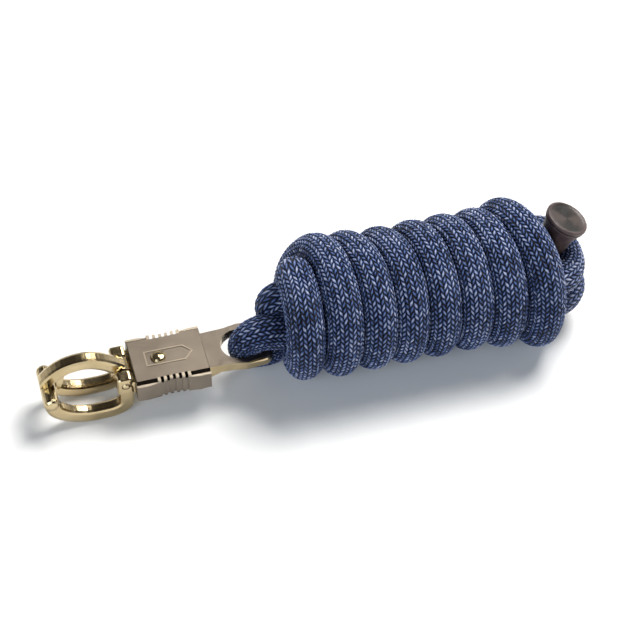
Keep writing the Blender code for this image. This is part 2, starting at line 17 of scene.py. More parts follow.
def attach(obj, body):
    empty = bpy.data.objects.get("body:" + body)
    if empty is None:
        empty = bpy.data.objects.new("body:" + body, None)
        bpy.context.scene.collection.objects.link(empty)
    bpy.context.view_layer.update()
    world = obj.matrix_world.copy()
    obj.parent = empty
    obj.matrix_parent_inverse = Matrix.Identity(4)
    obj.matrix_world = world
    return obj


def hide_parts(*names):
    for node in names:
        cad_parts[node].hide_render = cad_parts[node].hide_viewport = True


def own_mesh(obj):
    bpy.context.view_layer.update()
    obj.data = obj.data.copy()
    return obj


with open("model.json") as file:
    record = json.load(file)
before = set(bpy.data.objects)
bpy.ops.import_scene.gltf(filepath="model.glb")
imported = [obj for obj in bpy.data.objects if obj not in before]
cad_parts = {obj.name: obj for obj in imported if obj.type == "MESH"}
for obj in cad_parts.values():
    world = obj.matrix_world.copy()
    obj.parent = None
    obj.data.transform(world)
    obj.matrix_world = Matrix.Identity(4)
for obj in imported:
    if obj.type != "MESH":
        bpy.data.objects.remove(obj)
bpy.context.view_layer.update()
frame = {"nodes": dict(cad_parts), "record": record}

MM = 0.001
LEAD = "lead"                   # the body of everything but the jaw and the release sleeve

# View and light, in metres, degrees and watts
VIEW_TURN = -14.6               # a little to the left of the front
VIEW_DOWN = 50.0
VIEW_DISTANCE = 1.211
VIEW_TARGET = Vector((0.0752, 0.0, 0.0369))
LENS = 150.0
LIGHT_TARGET = Vector((0.08, 0.0, 0.03))
KEY_POWER = 24.0
RIM_POWER = 0.4
FILL_POWER = 10.0
SKY_STRENGTH = 0.72
SKY = (                         # colours of the surroundings, from the horizon to overhead
    (0.00, (1.0, 1.0, 1.0)), (0.22, (0.95, 0.95, 0.96)), (0.42, (0.30, 0.295, 0.29)),
    (0.66, (0.08, 0.075, 0.07)), (0.95, (0.05, 0.045, 0.04)),
)

# Rope and hank
ROPE_D = 18.0
FULL_R = ROPE_D / 2             # radius of the rope where nothing squeezes it
WRAPS = 8
WRAP_PITCH = 15.8
WRAP_R = 23.5                   # axis of the hank to the middle of the rope
FIRST_WRAP_X = 67.5
HANK_Y = 2.8
ROPE_BULGE = 9.7                # half the height of one turn, squeezed narrow by its neighbours
HANK_FLAT = 0.25                # how far the turns are pressed flat where they lie
HANK_Z = WRAP_R + ROPE_BULGE - HANK_FLAT

# Winding, with angles in degrees round the hank, from +Y towards +Z
VISIBLE_MIDDLE = 130.0          # the middle of the side that shows
WINDING_START = 270.0           # on the last turn, underneath
WINDING_END = 84.0              # on the first turn, where the rope dives into the core
WINDING_POINTS = 18             # route points of one turn
FIRST_LEAN = 1.45               # over 1, the side that shows slants against the winding's advance
LEAN_LOSS = 0.9                 # the last turn leans this much less than the first
TURN_TILT = 3.5                 # the side that shows lies this far towards the free end
TILT_GAIN = 0.12                # and each turn further on a little more
HEAD_SHIFT = 1.6                # the third turn and its neighbours lie this much further from the hook

# Humps in the winding: the turn that each one is at, its width in turns and its size
SIDEWAYS_HUMPS = (
    (7.12, 0.24, 2.4), (0.62, 0.11, -4.4), (1.62, 0.13, -1.8), (1.78, 0.12, -2.2), (2.78, 0.12, -1.6),
    (6.78, 0.13, -2.6),
)
OUTWARD_HUMPS = (
    (0.77, 0.17, 2.7), (1.77, 0.16, 1.3), (6.79, 0.13, 2.5), (6.26, 0.13, 1.7), (7.26, 0.13, 5.2),
    (0.25, 0.15, -1.4),
)

# Braid, and how finely the rope is modelled
STITCH_COLUMNS = 28             # columns of stitches round the rope
STITCH_PITCH = 2.0
STITCH_SLANT = 0.8              # pitches that a stitch runs along the rope on its way across its column
STITCH_RELIEF = 0.75
RELIEF_LEVEL = 0.75             # share of the relief that lies inside the rope's own radius
AROUND = 96                     # points of one section
ALONG_STEP = 0.62               # from one section to the next
SPAN_SAMPLES = 16               # samples of the route from one of its points to the next
RELAX_SAMPLES = 9               # samples that are averaged where the route is relaxed

# Sections that are pressed flat
CONTACT_REACH = 1.25 * ROPE_D
SAME_STRETCH = 1.9 * ROPE_D     # nearer than this along the rope, two sections don't press each other
CONTACT_STRIDE = 5              # every fifth section is felt by the others
PRESS_GAP = 0.05
ROPE_SHOULDER = 0.32            # how softly a section turns flat where it meets the rope
FLOOR_SHOULDER = 0.25           # and where it meets the surface that it lies on

# End cap: the middle of its disc and the direction it points
CAP_TOP = Vector((201.8, 4.5, 61.2))
CAP_DIRECTION = Vector((0.434, -0.016, 0.901)).normalized()
CAP_L = 24.0
CAP_R = 7.75
CAP_BORE_R = 6.6
CAP_FLARE = 2.35                # how much wider the tube is at its rim
CAP_FLARE_START = 0.45          # share of its length that stays straight
CAP_GAP = 0.3                   # between the tube and the disc
DISC_T = 2.0
DISC_FACE_R = 9.2               # the rounded edge outside it has the look of the tube
CAP_SEGMENTS = 96
SHEEN_ANGLE = 1.6               # radians round the disc, to the middle of its painted sheen streak

# Hook
HOOK_Z = 20.3                   # centre plane of the shank
PLATE_TOP = HOOK_Z + 2.5
SLEEVE_TOP = HOOK_Z + 4.4
SATIN_FROM_X = -10.8            # from here on the tops of the shank and the eye have the satin finish
GRIP_Y = 12.1                   # where the sleeve's top slopes down to the lowered edges along both sides
GRIP_SLOPE = 1.3                # width of that slope
GRIP_TEETH = 6
TEETH_X = (-1.2, 14.6)
TOOTH_PITCH = (TEETH_X[1] - TEETH_X[0]) / (GRIP_TEETH - 0.5)
SPRING_Z = HOOK_Z - 1.75
SPRING_X = (4.3, 21.58)
SPRING_TURNS = 9.0
SPRING_R = 2.45
SPRING_WIRE_R = 0.42
SPRING_SIDES = 12               # sides of the wire
SPRING_STEPS = 40               # steps of one turn


def add_object(name, data):
    obj = bpy.data.objects.new(name, data)
    bpy.context.scene.collection.objects.link(obj)
    return obj


# ---------------------------------------------------------------- camera, floor and light

def make_camera():
    """Look down at the object from a little to the left of its front, through a long lens."""
    azimuth = math.radians(VIEW_TURN)
    elevation = math.radians(VIEW_DOWN)
    level = math.cos(elevation)
    back = Vector((math.sin(azimuth) * level, -math.cos(azimuth) * level, math.sin(elevation)))
    data = bpy.data.cameras.new("camera")
    data.lens = LENS
    data.sensor_width = 36.0
    data.clip_start = 0.05
    data.clip_end = 20.0
    camera = add_object("camera", data)
    camera.location = VIEW_TARGET + back * VIEW_DISTANCE
    camera.rotation_mode = "QUATERNION"
    camera.rotation_quaternion = (-back).to_track_quat("-Z", "Y")
    bpy.context.scene.camera = camera
    bpy.context.scene.view_settings.view_transform = "Standard"


def make_floor():
    """A plain white floor, three metres to each side."""
    bm = bmesh.new()
    bmesh.ops.create_grid(bm, x_segments=8, y_segments=8, size=3.0)
    bmesh.ops.translate(bm, verts=bm.verts, vec=(LIGHT_TARGET.x, 0, 0))
    mesh = bpy.data.meshes.new("floor")
    bm.to_mesh(mesh)
    bm.free()
    floor = add_object("floor", mesh)
    paper = Material("studio_paper")
    grain = paper.noise(3.0, 3.0, paper.coords("Object"))
    paper.link(paper.ramp(grain, ((0.3, (0.92, 0.92, 0.925)), (0.7, (0.94, 0.94, 0.94)))), "Base Color")
    paper.set("Roughness", 0.9)
    paper.set("Specular IOR Level", 0.1)
    mesh.materials.append(paper.mat)


def area_light(name, place, size, power, colour=(1.0, 1.0, 1.0)):
    data = bpy.data.lights.new(name, "AREA")
    data.shape = "RECTANGLE"
    data.size, data.size_y = size
    data.energy = power
    data.color = colour
    lamp = add_object(name, data)
    lamp.location = place
    lamp.rotation_mode = "QUATERNION"
    lamp.rotation_quaternion = (LIGHT_TARGET - Vector(place)).to_track_quat("-Z", "Y")


def make_lights():
    """A soft warm key from the back right, a weak rim from the right and a cool fill from the front left."""
    area_light("key", (0.62, 0.42, 1.05), (0.75, 0.65), KEY_POWER, (1.0, 0.98, 0.94))
    area_light("rim", (1.0, -0.25, 0.45), (0.35, 0.5), RIM_POWER)
    area_light("fill", (-0.75, -1.0, 0.9), (0.9, 0.9), FILL_POWER, (0.78, 0.89, 1.0))


def make_sky():
    """Surroundings for the metal to mirror, white at the horizon and dark overhead."""
    world = bpy.data.worlds.new("studio")
    bpy.context.scene.world = world
    world.use_nodes = True
    tree = world.node_tree
    sky = tree.nodes["Background"]
    place = tree.nodes.new("ShaderNodeTexCoord")
    split = tree.nodes.new("ShaderNodeSeparateXYZ")
    ramp = tree.nodes.new("ShaderNodeValToRGB")
    tree.links.new(place.outputs["Generated"], split.inputs[0])
    tree.links.new(split.outputs["Z"], ramp.inputs["Fac"])
    tree.links.new(ramp.outputs["Color"], sky.inputs["Color"])
    set_stops(ramp, SKY)
    sky.inputs["Strength"].default_value = SKY_STRENGTH


# ---------------------------------------------------------------- materials

def set_stops(ramp, stops):
    """Give a colour ramp its stops, each a position and a colour, in rising order."""
    elements = ramp.color_ramp.elements
    while len(elements) < len(stops):
        elements.new(0.5)
    for element, (position, colour) in zip(elements, stops):
        element.position = position
        element.color = (*colour, 1)


class Material:
    """A node material round one Principled shader. A value is a node's output or a plain number or colour."""

    def __init__(self, name):
        self.mat = bpy.data.materials.new(name)
        self.mat.use_nodes = True
        self.tree = self.mat.node_tree
        self.shader = self.tree.nodes["Principled BSDF"]

    def set(self, socket, value):
        self.shader.inputs[socket].default_value = value

    def link(self, source, socket):
        self.tree.links.new(source, self.shader.inputs[socket])

    def node(self, kind, **settings):
        made = self.tree.nodes.new(kind)
        for key, value in settings.items():
            setattr(made, key, value)
        return made

    def feed(self, socket, value):
        if isinstance(value, bpy.types.NodeSocket):
            self.tree.links.new(value, socket)
        else:
            socket.default_value = value

    def math(self, operation, a, b=0.0):
        made = self.node("ShaderNodeMath", operation=operation)
        for socket, value in zip(made.inputs, (a, b)):
            self.feed(socket, value)
        return made.outputs[0]

    def plus(self, a, b):
        return self.math("ADD", a, b)

    def minus(self, a, b):
        return self.math("SUBTRACT", a, b)

    def times(self, a, b):
        return self.math("MULTIPLY", a, b)

    def off_centre(self, share):
        """0 in the middle of a range from 0 to 1, and 1 at both of its ends."""
        return self.math("ABSOLUTE", self.minus(self.times(share, 2.0), 1.0))

    def coords(self, output):
        return self.node("ShaderNodeTexCoord").outputs[output]

    def uv(self, name):
        return self.node("ShaderNodeUVMap", uv_map=name).outputs[0]

    def split(self, vector):
        made = self.node("ShaderNodeSeparateXYZ")
        self.feed(made.inputs[0], vector)
        return made.outputs

    def join(self, x, y, z=0.0):
        made = self.node("ShaderNodeCombineXYZ")
        for socket, value in zip(made.inputs, (x, y, z)):
            self.feed(socket, value)
        return made.outputs[0]

    def scaled(self, vector, scale):
        made = self.node("ShaderNodeMapping")
        self.feed(made.inputs["Vector"], vector)
        made.inputs["Scale"].default_value = scale
        return made.outputs[0]

    def noise(self, scale, detail, vector, roughness=0.5):
        made = self.node("ShaderNodeTexNoise")
        self.feed(made.inputs["Vector"], vector)
        made.inputs["Scale"].default_value = scale
        made.inputs["Detail"].default_value = detail
        made.inputs["Roughness"].default_value = roughness
        return made.outputs["Fac"]

    def ramp(self, factor, stops):
        made = self.node("ShaderNodeValToRGB")
        self.feed(made.inputs["Fac"], factor)
        set_stops(made, stops)
        return made.outputs["Color"]

    def level(self, factor, low, high, to_low=0.0, to_high=1.0):
        made = self.node("ShaderNodeMapRange")
        self.feed(made.inputs["Value"], factor)
        for name, value in (("From Min", low), ("From Max", high), ("To Min", to_low), ("To Max", to_high)):
            made.inputs[name].default_value = value
        return made.outputs["Result"]

    def beyond(self, coordinate, low, high):
        """0 before and 1 after the stretch from low to high, in millimetres."""
        return self.level(coordinate, low * MM, high * MM)

    def short_of(self, coordinate, low, high):
        """1 before and 0 after the stretch from low to high, in millimetres."""
        return self.level(coordinate, low * MM, high * MM, 1.0, 0.0)

    def inside(self, coordinate, low, high):
        """1 from low to high, in millimetres, and 0 elsewhere."""
        after = self.math("GREATER_THAN", coordinate, low * MM)
        return self.times(after, self.math("LESS_THAN", coordinate, high * MM))

    def mix(self, factor, first, second):
        made = self.node("ShaderNodeMix", data_type="RGBA")
        self.feed(made.inputs["Factor"], factor)
        self.feed(made.inputs[6], first)
        self.feed(made.inputs[7], second)
        return made.outputs[2]

    def bump(self, height, distance, strength):
        made = self.node("ShaderNodeBump")
        made.inputs["Distance"].default_value = distance
        made.inputs["Strength"].default_value = strength
        self.feed(made.inputs["Height"], height)
        self.link(made.outputs[0], "Normal")


def braid_material():
    """Navy polypropylene braid: short plump stitches with painted shade in the gaps and painted highlights on
    their tops, each a bundle of fine glossy fibres.

    The UV layer counts stitches along the rope and columns of stitches round it.
    """
    m = Material("navy_braid_look")
    counted, around, _ = m.split(m.uv("braid"))
    wander = m.noise(0.55, 1.0, m.join(counted, around))
    along = m.plus(counted, m.times(m.minus(wander, 0.5), 0.5))
    column = m.math("FLOOR", around)
    across = m.minus(around, column)
    odd = m.math("MODULO", column, 2.0)
    # the stitches slant one way in the even columns and the other way in the odd ones
    slant = m.times(m.math("ABSOLUTE", m.minus(across, odd)), STITCH_SLANT)
    phase = m.plus(m.plus(along, slant), m.times(odd, 0.5))
    stitch = m.math("FLOOR", phase)

    # the powers say how plump a stitch is across its ridge and towards its ends
    ridge = m.minus(1.0, m.math("POWER", m.off_centre(m.minus(phase, stitch)), 2.2))
    ends = m.minus(1.0, m.math("POWER", m.off_centre(across), 2.6))
    height = m.times(ridge, m.math("POWER", m.math("MAXIMUM", ends, 0.0), 0.7))

    # each stitch has a tone of its own and fine fibres, and the whole rope has soft patches
    cell = m.node("ShaderNodeTexWhiteNoise", noise_dimensions="2D")
    m.feed(cell.inputs["Vector"], m.join(stitch, column))
    fibres = m.noise(1.0, 3.0, m.join(m.times(phase, 7.0), m.times(across, 1.1), column), 0.65)
    patches = m.noise(42.0, 3.0, m.coords("Object"), 0.6)

    # the stitch height paints shade into the gaps between stitches and a highlight onto each stitch's top
    tone = m.plus(m.times(height, 0.62), m.times(fibres, 0.34))
    tone = m.plus(tone, m.times(m.minus(cell.outputs["Value"], 0.5), 0.28))
    tone = m.plus(tone, m.times(m.minus(patches, 0.5), 0.3))
    colour = m.ramp(tone, (
        (0.32, (0.0006, 0.0008, 0.0022)),
        (0.50, (0.0074, 0.0192, 0.0770)),
        (0.68, (0.0620, 0.1150, 0.3020)),
        (0.96, (0.4450, 0.4750, 0.6000)),
    ))
    m.link(colour, "Base Color")
    m.link(m.level(fibres, 0.3, 0.7, 0.40, 0.60), "Roughness")
    m.set("Specular IOR Level", 0.3)
    m.set("Sheen Weight", 0.05)
    m.set("Sheen Roughness", 0.4)
    m.set("Sheen Tint", (0.62, 0.70, 0.95, 1))
    m.bump(m.plus(height, m.times(fibres, 0.2)), 0.0009, 1.0)
    return m.mat


def brass_material(name, satin_from=None):
    """Pale gold plating, polished, with faint casting waves and small scratches.

    The top of the plate is satin from satin_from on, in X.
    """
    m = Material(name)
    place = m.coords("Object")
    waves = m.noise(90.0, 2.0, place)
    fine = m.noise(900.0, 3.0, m.scaled(place, (1.0, 0.25, 1.0)), 0.6)
    gold = m.ramp(waves, ((0.3, (0.48, 0.375, 0.21)), (0.7, (0.59, 0.475, 0.285))))
    polish = m.level(fine, 0.3, 0.75, 0.12, 0.24)
    if satin_from is not None:
        x, _, z = m.split(place)
        on_top = m.beyond(z, PLATE_TOP - 0.15, PLATE_TOP - 0.05)
        satin = m.times(m.beyond(x, satin_from, satin_from + 0.5), on_top)
        taupe = m.ramp(waves, ((0.3, (0.175, 0.147, 0.119)), (0.7, (0.215, 0.183, 0.149))))
        gold = m.mix(satin, gold, taupe)
        polish = m.plus(polish, m.times(satin, 0.17))
    m.link(gold, "Base Color")
    m.set("Metallic", 1.0)
    m.link(polish, "Roughness")
    m.bump(m.plus(waves, m.times(fine, 0.05)), 0.00025, 0.5)
    return m.mat


def satin_material():
    """The release sleeve: satin plating, with painted shade on the slopes and in the gaps along its grips,
    and painted highlights on its crests, edges and raised arrow.
    """
    m = Material("satin_plate_look")
    place = m.coords("Object")
    grain = m.noise(1600.0, 3.0, m.scaled(place, (0.12, 1.0, 1.0)), 0.6)
    cloud = m.noise(60.0, 2.0, place)
    satin = m.ramp(cloud, ((0.3, (0.182, 0.152, 0.122)), (0.7, (0.228, 0.193, 0.156))))
    x, y, z = m.split(place)
    aside = m.math("ABSOLUTE", y)

    # each pitch of the grips is first a tooth and then a gap
    pitches = m.math("DIVIDE", m.minus(x, TEETH_X[0] * MM), TOOTH_PITCH * MM)
    tooth = m.level(m.math("FRACT", pitches), 0.48, 0.52, 1.0, 0.0)
    tooth = m.times(tooth, m.inside(x, TEETH_X[0] - 0.2, TEETH_X[1] + 0.2))

    # what lies below the top, outside the teeth: the slopes, and between the teeth the gaps, which both get
    # painted shade
    lowered = m.beyond(aside, GRIP_Y - 0.6, GRIP_Y - 0.4)
    lowered = m.times(lowered, m.beyond(z, SLEEVE_TOP - 2.6, SLEEVE_TOP - 2.2))
    lowered = m.times(lowered, m.short_of(z, SLEEVE_TOP - 0.12, SLEEVE_TOP - 0.06))
    lowered = m.times(lowered, m.minus(1.0, tooth))
    shaded_gap = m.times(lowered, m.inside(x, *TEETH_X))
    edge_y = GRIP_Y + GRIP_SLOPE
    shaded_slope = m.times(lowered, m.short_of(aside, edge_y, edge_y + 0.3))

    # painted highlights: the raised arrow, the lowered edges and the crests of the teeth are painted bright
    arrow_highlight = m.beyond(z, SLEEVE_TOP + 0.08, SLEEVE_TOP + 0.16)
    edge = m.beyond(aside, edge_y + 0.05, edge_y + 0.15)
    edge = m.times(edge, m.beyond(z, SLEEVE_TOP - 1.7, SLEEVE_TOP - 1.5))
    crest_highlight = m.times(tooth, m.beyond(aside, GRIP_Y - 0.4, GRIP_Y - 0.2))
    crest_highlight = m.times(crest_highlight, m.beyond(z, SLEEVE_TOP - 1.7, SLEEVE_TOP - 1.2))

    # painted shade on the slopes and near-black painted shade in the gaps, then painted highlights on the
    # arrow, the edges and the crests
    metal = m.mix(shaded_slope, satin, (0.13, 0.105, 0.085, 1))
    metal = m.mix(shaded_gap, metal, (0.012, 0.010, 0.008, 1))
    metal = m.mix(arrow_highlight, metal, (0.31, 0.265, 0.205, 1))
    metal = m.mix(m.math("MAXIMUM", edge, crest_highlight), metal, (0.42, 0.36, 0.285, 1))
    m.link(metal, "Base Color")
    m.set("Metallic", 1.0)
    rough = m.level(grain, 0.3, 0.7, 0.34, 0.44)
    m.link(m.times(rough, m.minus(1.0, m.times(shaded_slope, 0.6))), "Roughness")
    m.bump(grain, 0.00006, 0.6)
    return m.mat


def steel_material():
    """Drawn spring wire."""
    m = Material("spring_steel_look")
    drawn = m.noise(700.0, 2.0, m.scaled(m.coords("Object"), (1.0, 0.2, 0.2)))
    m.link(m.ramp(drawn, ((0.3, (0.42, 0.42, 0.43)), (0.7, (0.58, 0.58, 0.6)))), "Base Color")
    m.set("Metallic", 1.0)
    m.link(m.level(drawn, 0.3, 0.7, 0.25, 0.4), "Roughness")
    m.bump(drawn, 0.00005, 0.4)
    return m.mat


def leather_material(name, dark, light, painted_sheen=0.0):
    """Smooth stained leather with fine pores, soft creases and a low shine.

    The painted sheen is a disc's two painted light and two painted dark sectors, laid out by the UV layer of
    its face.
    """
    m = Material(name)
    place = m.coords("Object")
    pores = m.node("ShaderNodeTexVoronoi")
    m.feed(pores.inputs["Vector"], place)
    pores.inputs["Scale"].default_value = 1500.0
    creases = m.noise(230.0, 4.0, place, 0.6)
    stain = m.noise(70.0, 3.0, place)
    tone = m.plus(m.times(creases, 0.5), m.times(stain, 0.5))
    # painted sheen: light and dark sectors round the disc, standing for its reflection
    if painted_sheen:
        x, y, _ = m.split(m.uv("face"))
        turned = m.minus(m.math("ARCTAN2", y, x), SHEEN_ANGLE)
        tone = m.plus(tone, m.times(m.math("COSINE", m.times(turned, 2.0)), painted_sheen))
    m.link(m.ramp(tone, ((0.32, dark), (0.68, light))), "Base Color")
    m.link(m.level(creases, 0.3, 0.7, 0.34, 0.55), "Roughness")
    m.set("Specular IOR Level", 0.45)
    m.bump(m.plus(m.times(pores.outputs["Distance"], 0.35), creases), 0.0002, 0.55)
    return m.mat


# ---------------------------------------------------------------- rope route

def hump(turn, centre, width):
    """A smooth hump of height 1 at its centre turn."""
    offset = (turn - centre) / width
    return math.exp(-offset * offset)


def humps(turn, places):
    """What all the humps of a list, each with its centre, width and size, add up to at a turn."""
    return sum(size * hump(turn, centre, width) for centre, width, size in places)


def winding_point(turn):
    """A point of the winding. Turns are counted from the middle of the first one's side that shows."""
    swept = 2 * math.pi * turn
    lean = FIRST_LEAN - LEAN_LOSS * turn / (WRAPS - 1)
    # the first turn stands straighter than the others
    tilt = TURN_TILT * (1.0 - 0.7 * hump(turn, 0.0, 0.6)) + TILT_GAIN * turn
    x = FIRST_WRAP_X + WRAP_PITCH * (turn - lean * math.sin(swept) / (2 * math.pi))
    x += HEAD_SHIFT * hump(turn, 2.0, 1.8) + tilt * math.cos(swept) + humps(turn, SIDEWAYS_HUMPS)
    radius = WRAP_R + humps(turn, OUTWARD_HUMPS)
    angle = math.radians(VISIBLE_MIDDLE) + swept
    return x, HANK_Y + radius * math.cos(angle), HANK_Z + radius * math.sin(angle)


def full(*points):
    """Route points where the rope has its full radius."""
    return [(*point, FULL_R) for point in points]


def core_run(places_x, y, z):
    """A straight length of the rope through the core of the hank."""
    return full(*((x, y, z) for x in places_x))


def cap_point(along):
    return CAP_TOP + CAP_DIRECTION * along


def rope_route():
    """Route points (x, y, z, radius) of the whole rope, from its cut end in the core to the cap."""
    # out of the core, up through the eye of the hook and back
    route = [
        (78.0, 7.0, 24.0, 8.4), (70.0, 6.4, 20.0, 8.6), (64.0, 5.6, 14.6, 8.6), (58.6, 4.8, 10.2, 8.2),
        (54.0, 4.4, 8.8, 7.8), (50.5, 4.0, 8.9, 7.4), (46.8, 2.9, 10.6, 7.2), (43.6, 1.5, 14.4, 7.1),
        (42.4, 0.2, 19.5, 7.1), (43.7, -1.1, 25.0, 7.5), (47.3, -2.2, 29.2, 8.1), (53.0, -3.0, 31.2, 8.7),
    ]
    route += full((60.0, -3.3, 30.4), (68.0, -3.0, 28.0), (80.0, -2.6, 26.4))
    route += core_run((96.0, 112.0, 128.0, 144.0, 158.0), -2.5, 26.2)
    # the lower fold at the free end
    route += full(
        (170.0, -2.8, 26.0), (178.0, -4.6, 24.6), (184.6, -7.8, 23.0), (190.8, -9.6, 21.4),
        (197.0, -8.2, 20.4), (201.6, -3.0, 20.0), (202.6, 3.4, 20.2), (199.4, 9.4, 20.8),
        (193.2, 12.4, 21.6), (185.6, 11.6, 23.0), (178.6, 9.4, 24.6), (170.0, 8.4, 25.8),
    )
    route += core_run((156.0, 140.0, 124.0, 108.0, 92.0), 8.3, 26.2)
    # the fold that looks out at the hook end
    route += full(
        (80.0, 8.3, 26.6), (71.0, 8.0, 27.0), (64.4, 7.7, 28.4), (60.4, 7.6, 31.6), (59.4, 7.6, 35.4),
        (61.2, 7.6, 38.6), (66.0, 6.8, 39.8), (73.0, 3.6, 38.2), (82.0, 0.2, 37.2), (92.0, -1.8, 37.2),
    )
    route += core_run((108.0, 124.0, 140.0, 156.0), -2.2, 37.6)
    # the upper loop round the cap's rope, down the back and under the last turn
    route += full(
        (168.0, -3.0, 38.0), (176.0, -5.0, 38.8), (183.0, -8.2, 38.8), (189.6, -10.6, 38.0),
        (195.8, -9.0, 36.8), (200.0, -3.8, 35.8), (201.6, 3.4, 35.4), (200.8, 11.2, 35.2),
        (197.8, 18.4, 34.2), (194.0, 23.6, 31.0), (190.8, 25.4, 25.0), (187.8, 23.6, 17.4),
        (185.2, 17.6, 11.8), (183.4, 10.6, 9.0),
    )
    # the winding, from the last turn to the first
    start = WRAPS - 1 + (WINDING_START - VISIBLE_MIDDLE) / 360.0
    end = (WINDING_END - VISIBLE_MIDDLE) / 360.0
    count = WINDING_POINTS * WRAPS
    route += full(*(winding_point(start + (end - start) * i / count) for i in range(count + 1)))
    # the first turn dives under the second and runs through the core to the cap
    route += full(
        (70.4, 9.2, 51.2), (72.0, 10.6, 46.6), (75.6, 11.0, 42.8), (81.2, 10.6, 40.2), (88.6, 9.8, 38.6),
        (98.0, 9.1, 37.4),
    )
    route += core_run((112.0, 128.0, 144.0, 158.0), 8.6, 37.0)
    route += full((168.0, 8.0, 35.8))
    route += [(175.4, 7.0, 33.0, 8.8), (181.4, 6.0, 31.6, 8.6), (186.0, 5.2, 33.2, 8.2)]
    # into the cap, squeezed by its bore
    squeezed = ((-27.4, 7.3), (-25.0, 6.5), (-20.0, 6.45), (-14.0, 6.45), (-8.0, 6.45), (-2.7, 6.45))
    route += [(*cap_point(along), radius) for along, radius in squeezed]
    return route


def smooth_route(points, step):
    """Evenly spaced samples (x, y, z, radius) of a centripetal Catmull-Rom curve, lightly relaxed."""
    points = np.array(points, float)
    guide = np.vstack((2 * points[0] - points[1], points, 2 * points[-1] - points[-2]))
    gaps = np.maximum(np.linalg.norm(np.diff(guide[:, :3], axis=0), axis=1), 1e-6) ** 0.5
    knots = np.concatenate(([0.0], np.cumsum(gaps)))
    spans = []
    for i in range(1, len(guide) - 2):
        t0, t1, t2, t3 = knots[i - 1:i + 3]
        t = np.linspace(t1, t2, SPAN_SAMPLES, endpoint=False)[:, None]
        a1 = (t1 - t) / (t1 - t0) * guide[i - 1] + (t - t0) / (t1 - t0) * guide[i]
        a2 = (t2 - t) / (t2 - t1) * guide[i] + (t - t1) / (t2 - t1) * guide[i + 1]
        a3 = (t3 - t) / (t3 - t2) * guide[i + 1] + (t - t2) / (t3 - t2) * guide[i + 2]
        b1 = (t2 - t) / (t2 - t0) * a1 + (t - t0) / (t2 - t0) * a2
        b2 = (t3 - t) / (t3 - t1) * a2 + (t - t1) / (t3 - t1) * a3
        spans.append((t2 - t) / (t2 - t1) * b1 + (t - t1) / (t2 - t1) * b2)
    samples = np.vstack((*spans, points[-1:]))
    kernel = np.hanning(RELAX_SAMPLES)
    kernel /= kernel.sum()
    ends = RELAX_SAMPLES - 1
    for _ in range(2):
        lengths = run_lengths(samples[:, :3])
        even = np.linspace(0.0, lengths[-1], int(round(lengths[-1] / step)) + 1)
        samples = np.stack([np.interp(even, lengths, samples[:, k]) for k in range(4)], axis=1)
        relaxed = np.stack([np.convolve(samples[:, k], kernel, mode="same") for k in range(4)], axis=1)
        samples[ends:-ends] = relaxed[ends:-ends]
    return samples


def run_lengths(path):
    """Length along the path to each of its points."""
    return np.concatenate(([0.0], np.cumsum(np.linalg.norm(np.diff(path, axis=0), axis=1))))


def carried_frames(path):
    """Two directions square to the path at each point, carried along it without twist."""
    tangents = np.gradient(path, axis=0)
    tangents /= np.linalg.norm(tangents, axis=1)[:, None]
    normals = np.zeros_like(path)
    start = np.cross(tangents[0], (0.0, 0.0, 1.0))
    normals[0] = start / np.linalg.norm(start)
    for i in range(1, len(path)):
        carried = normals[i - 1] - tangents[i] * normals[i - 1].dot(tangents[i])
        normals[i] = carried / np.linalg.norm(carried)
    return normals, np.cross(tangents, normals)


# ---------------------------------------------------------------- rope surface

def stitch_height(along, around):
    """Relief of the braid, 0 to 1, in the same pattern as the rope's material."""
    column = np.floor(around)
    across = around - column
    odd = np.mod(column, 2.0)
    phase = along + np.abs(across - odd) * STITCH_SLANT + odd * 0.5
    local = phase - np.floor(phase)
    ridge = 1.0 - np.abs(2.0 * local - 1.0) ** 2.4
    ends = np.maximum(1.0 - np.abs(2.0 * across - 1.0) ** 3.0, 0.0)
    return ridge * ends ** 0.6


def soft_limit(value, limit, width):
    """The value, held below the limit with a rounded shoulder."""
    return value - width * np.logaddexp(0.0, (value - limit) / width)


def swell_turns(path, offsets):
    """Raise the wound turns, which are squeezed narrow between each other. Changes offsets in place."""
    axis_y = path[:, 1] - HANK_Y
    axis_z = path[:, 2] - HANK_Z
    reach = np.hypot(axis_y, axis_z)
    # 1 on the turns and 0 in the core, which lies within 0.8 of their radius
    wound = np.clip((reach - 0.8 * WRAP_R) / (0.15 * WRAP_R), 0.0, 1.0)
    wound *= (path[:, 0] > FIRST_WRAP_X - 12) & (path[:, 0] < FIRST_WRAP_X + WRAP_PITCH * WRAPS)
    away = np.stack((np.zeros(len(path)), axis_y / reach, axis_z / reach), axis=1)
    height = np.einsum("ijk,ik->ij", offsets, away)
    gain = wound * (ROPE_BULGE / FULL_R - 1.0)
    offsets += (height * gain[:, None])[:, :, None] * away[:, None, :]


def press_sections(path, lengths, radii, offsets):
    """Flatten the rope where it touches itself or the surface below it. Changes offsets in place."""
    picked = range(0, len(path), CONTACT_STRIDE)
    tree = KDTree(len(picked))
    for k in picked:
        tree.insert(path[k], k)
    tree.balance()
    for i in range(len(path)):
        ring = offsets[i]
        for spot, k, distance in tree.find_range(path[i], CONTACT_REACH):
            if abs(lengths[k] - lengths[i]) < SAME_STRETCH or distance < 1.0:
                continue
            # the two sections meet in a plane at this share of the distance between them
            direction = (np.array(spot) - path[i]) / distance
            share = distance * radii[i] / (radii[i] + radii[k])
            if share > radii[i] * 1.02:
                continue
            reach = ring @ direction
            held = soft_limit(reach, share - PRESS_GAP, ROPE_SHOULDER)
            ring += (held - reach)[:, None] * direction
        below = -ring[:, 2]
        held = soft_limit(below, path[i][2] - PRESS_GAP, FLOOR_SHOULDER)
        ring[:, 2] -= held - below


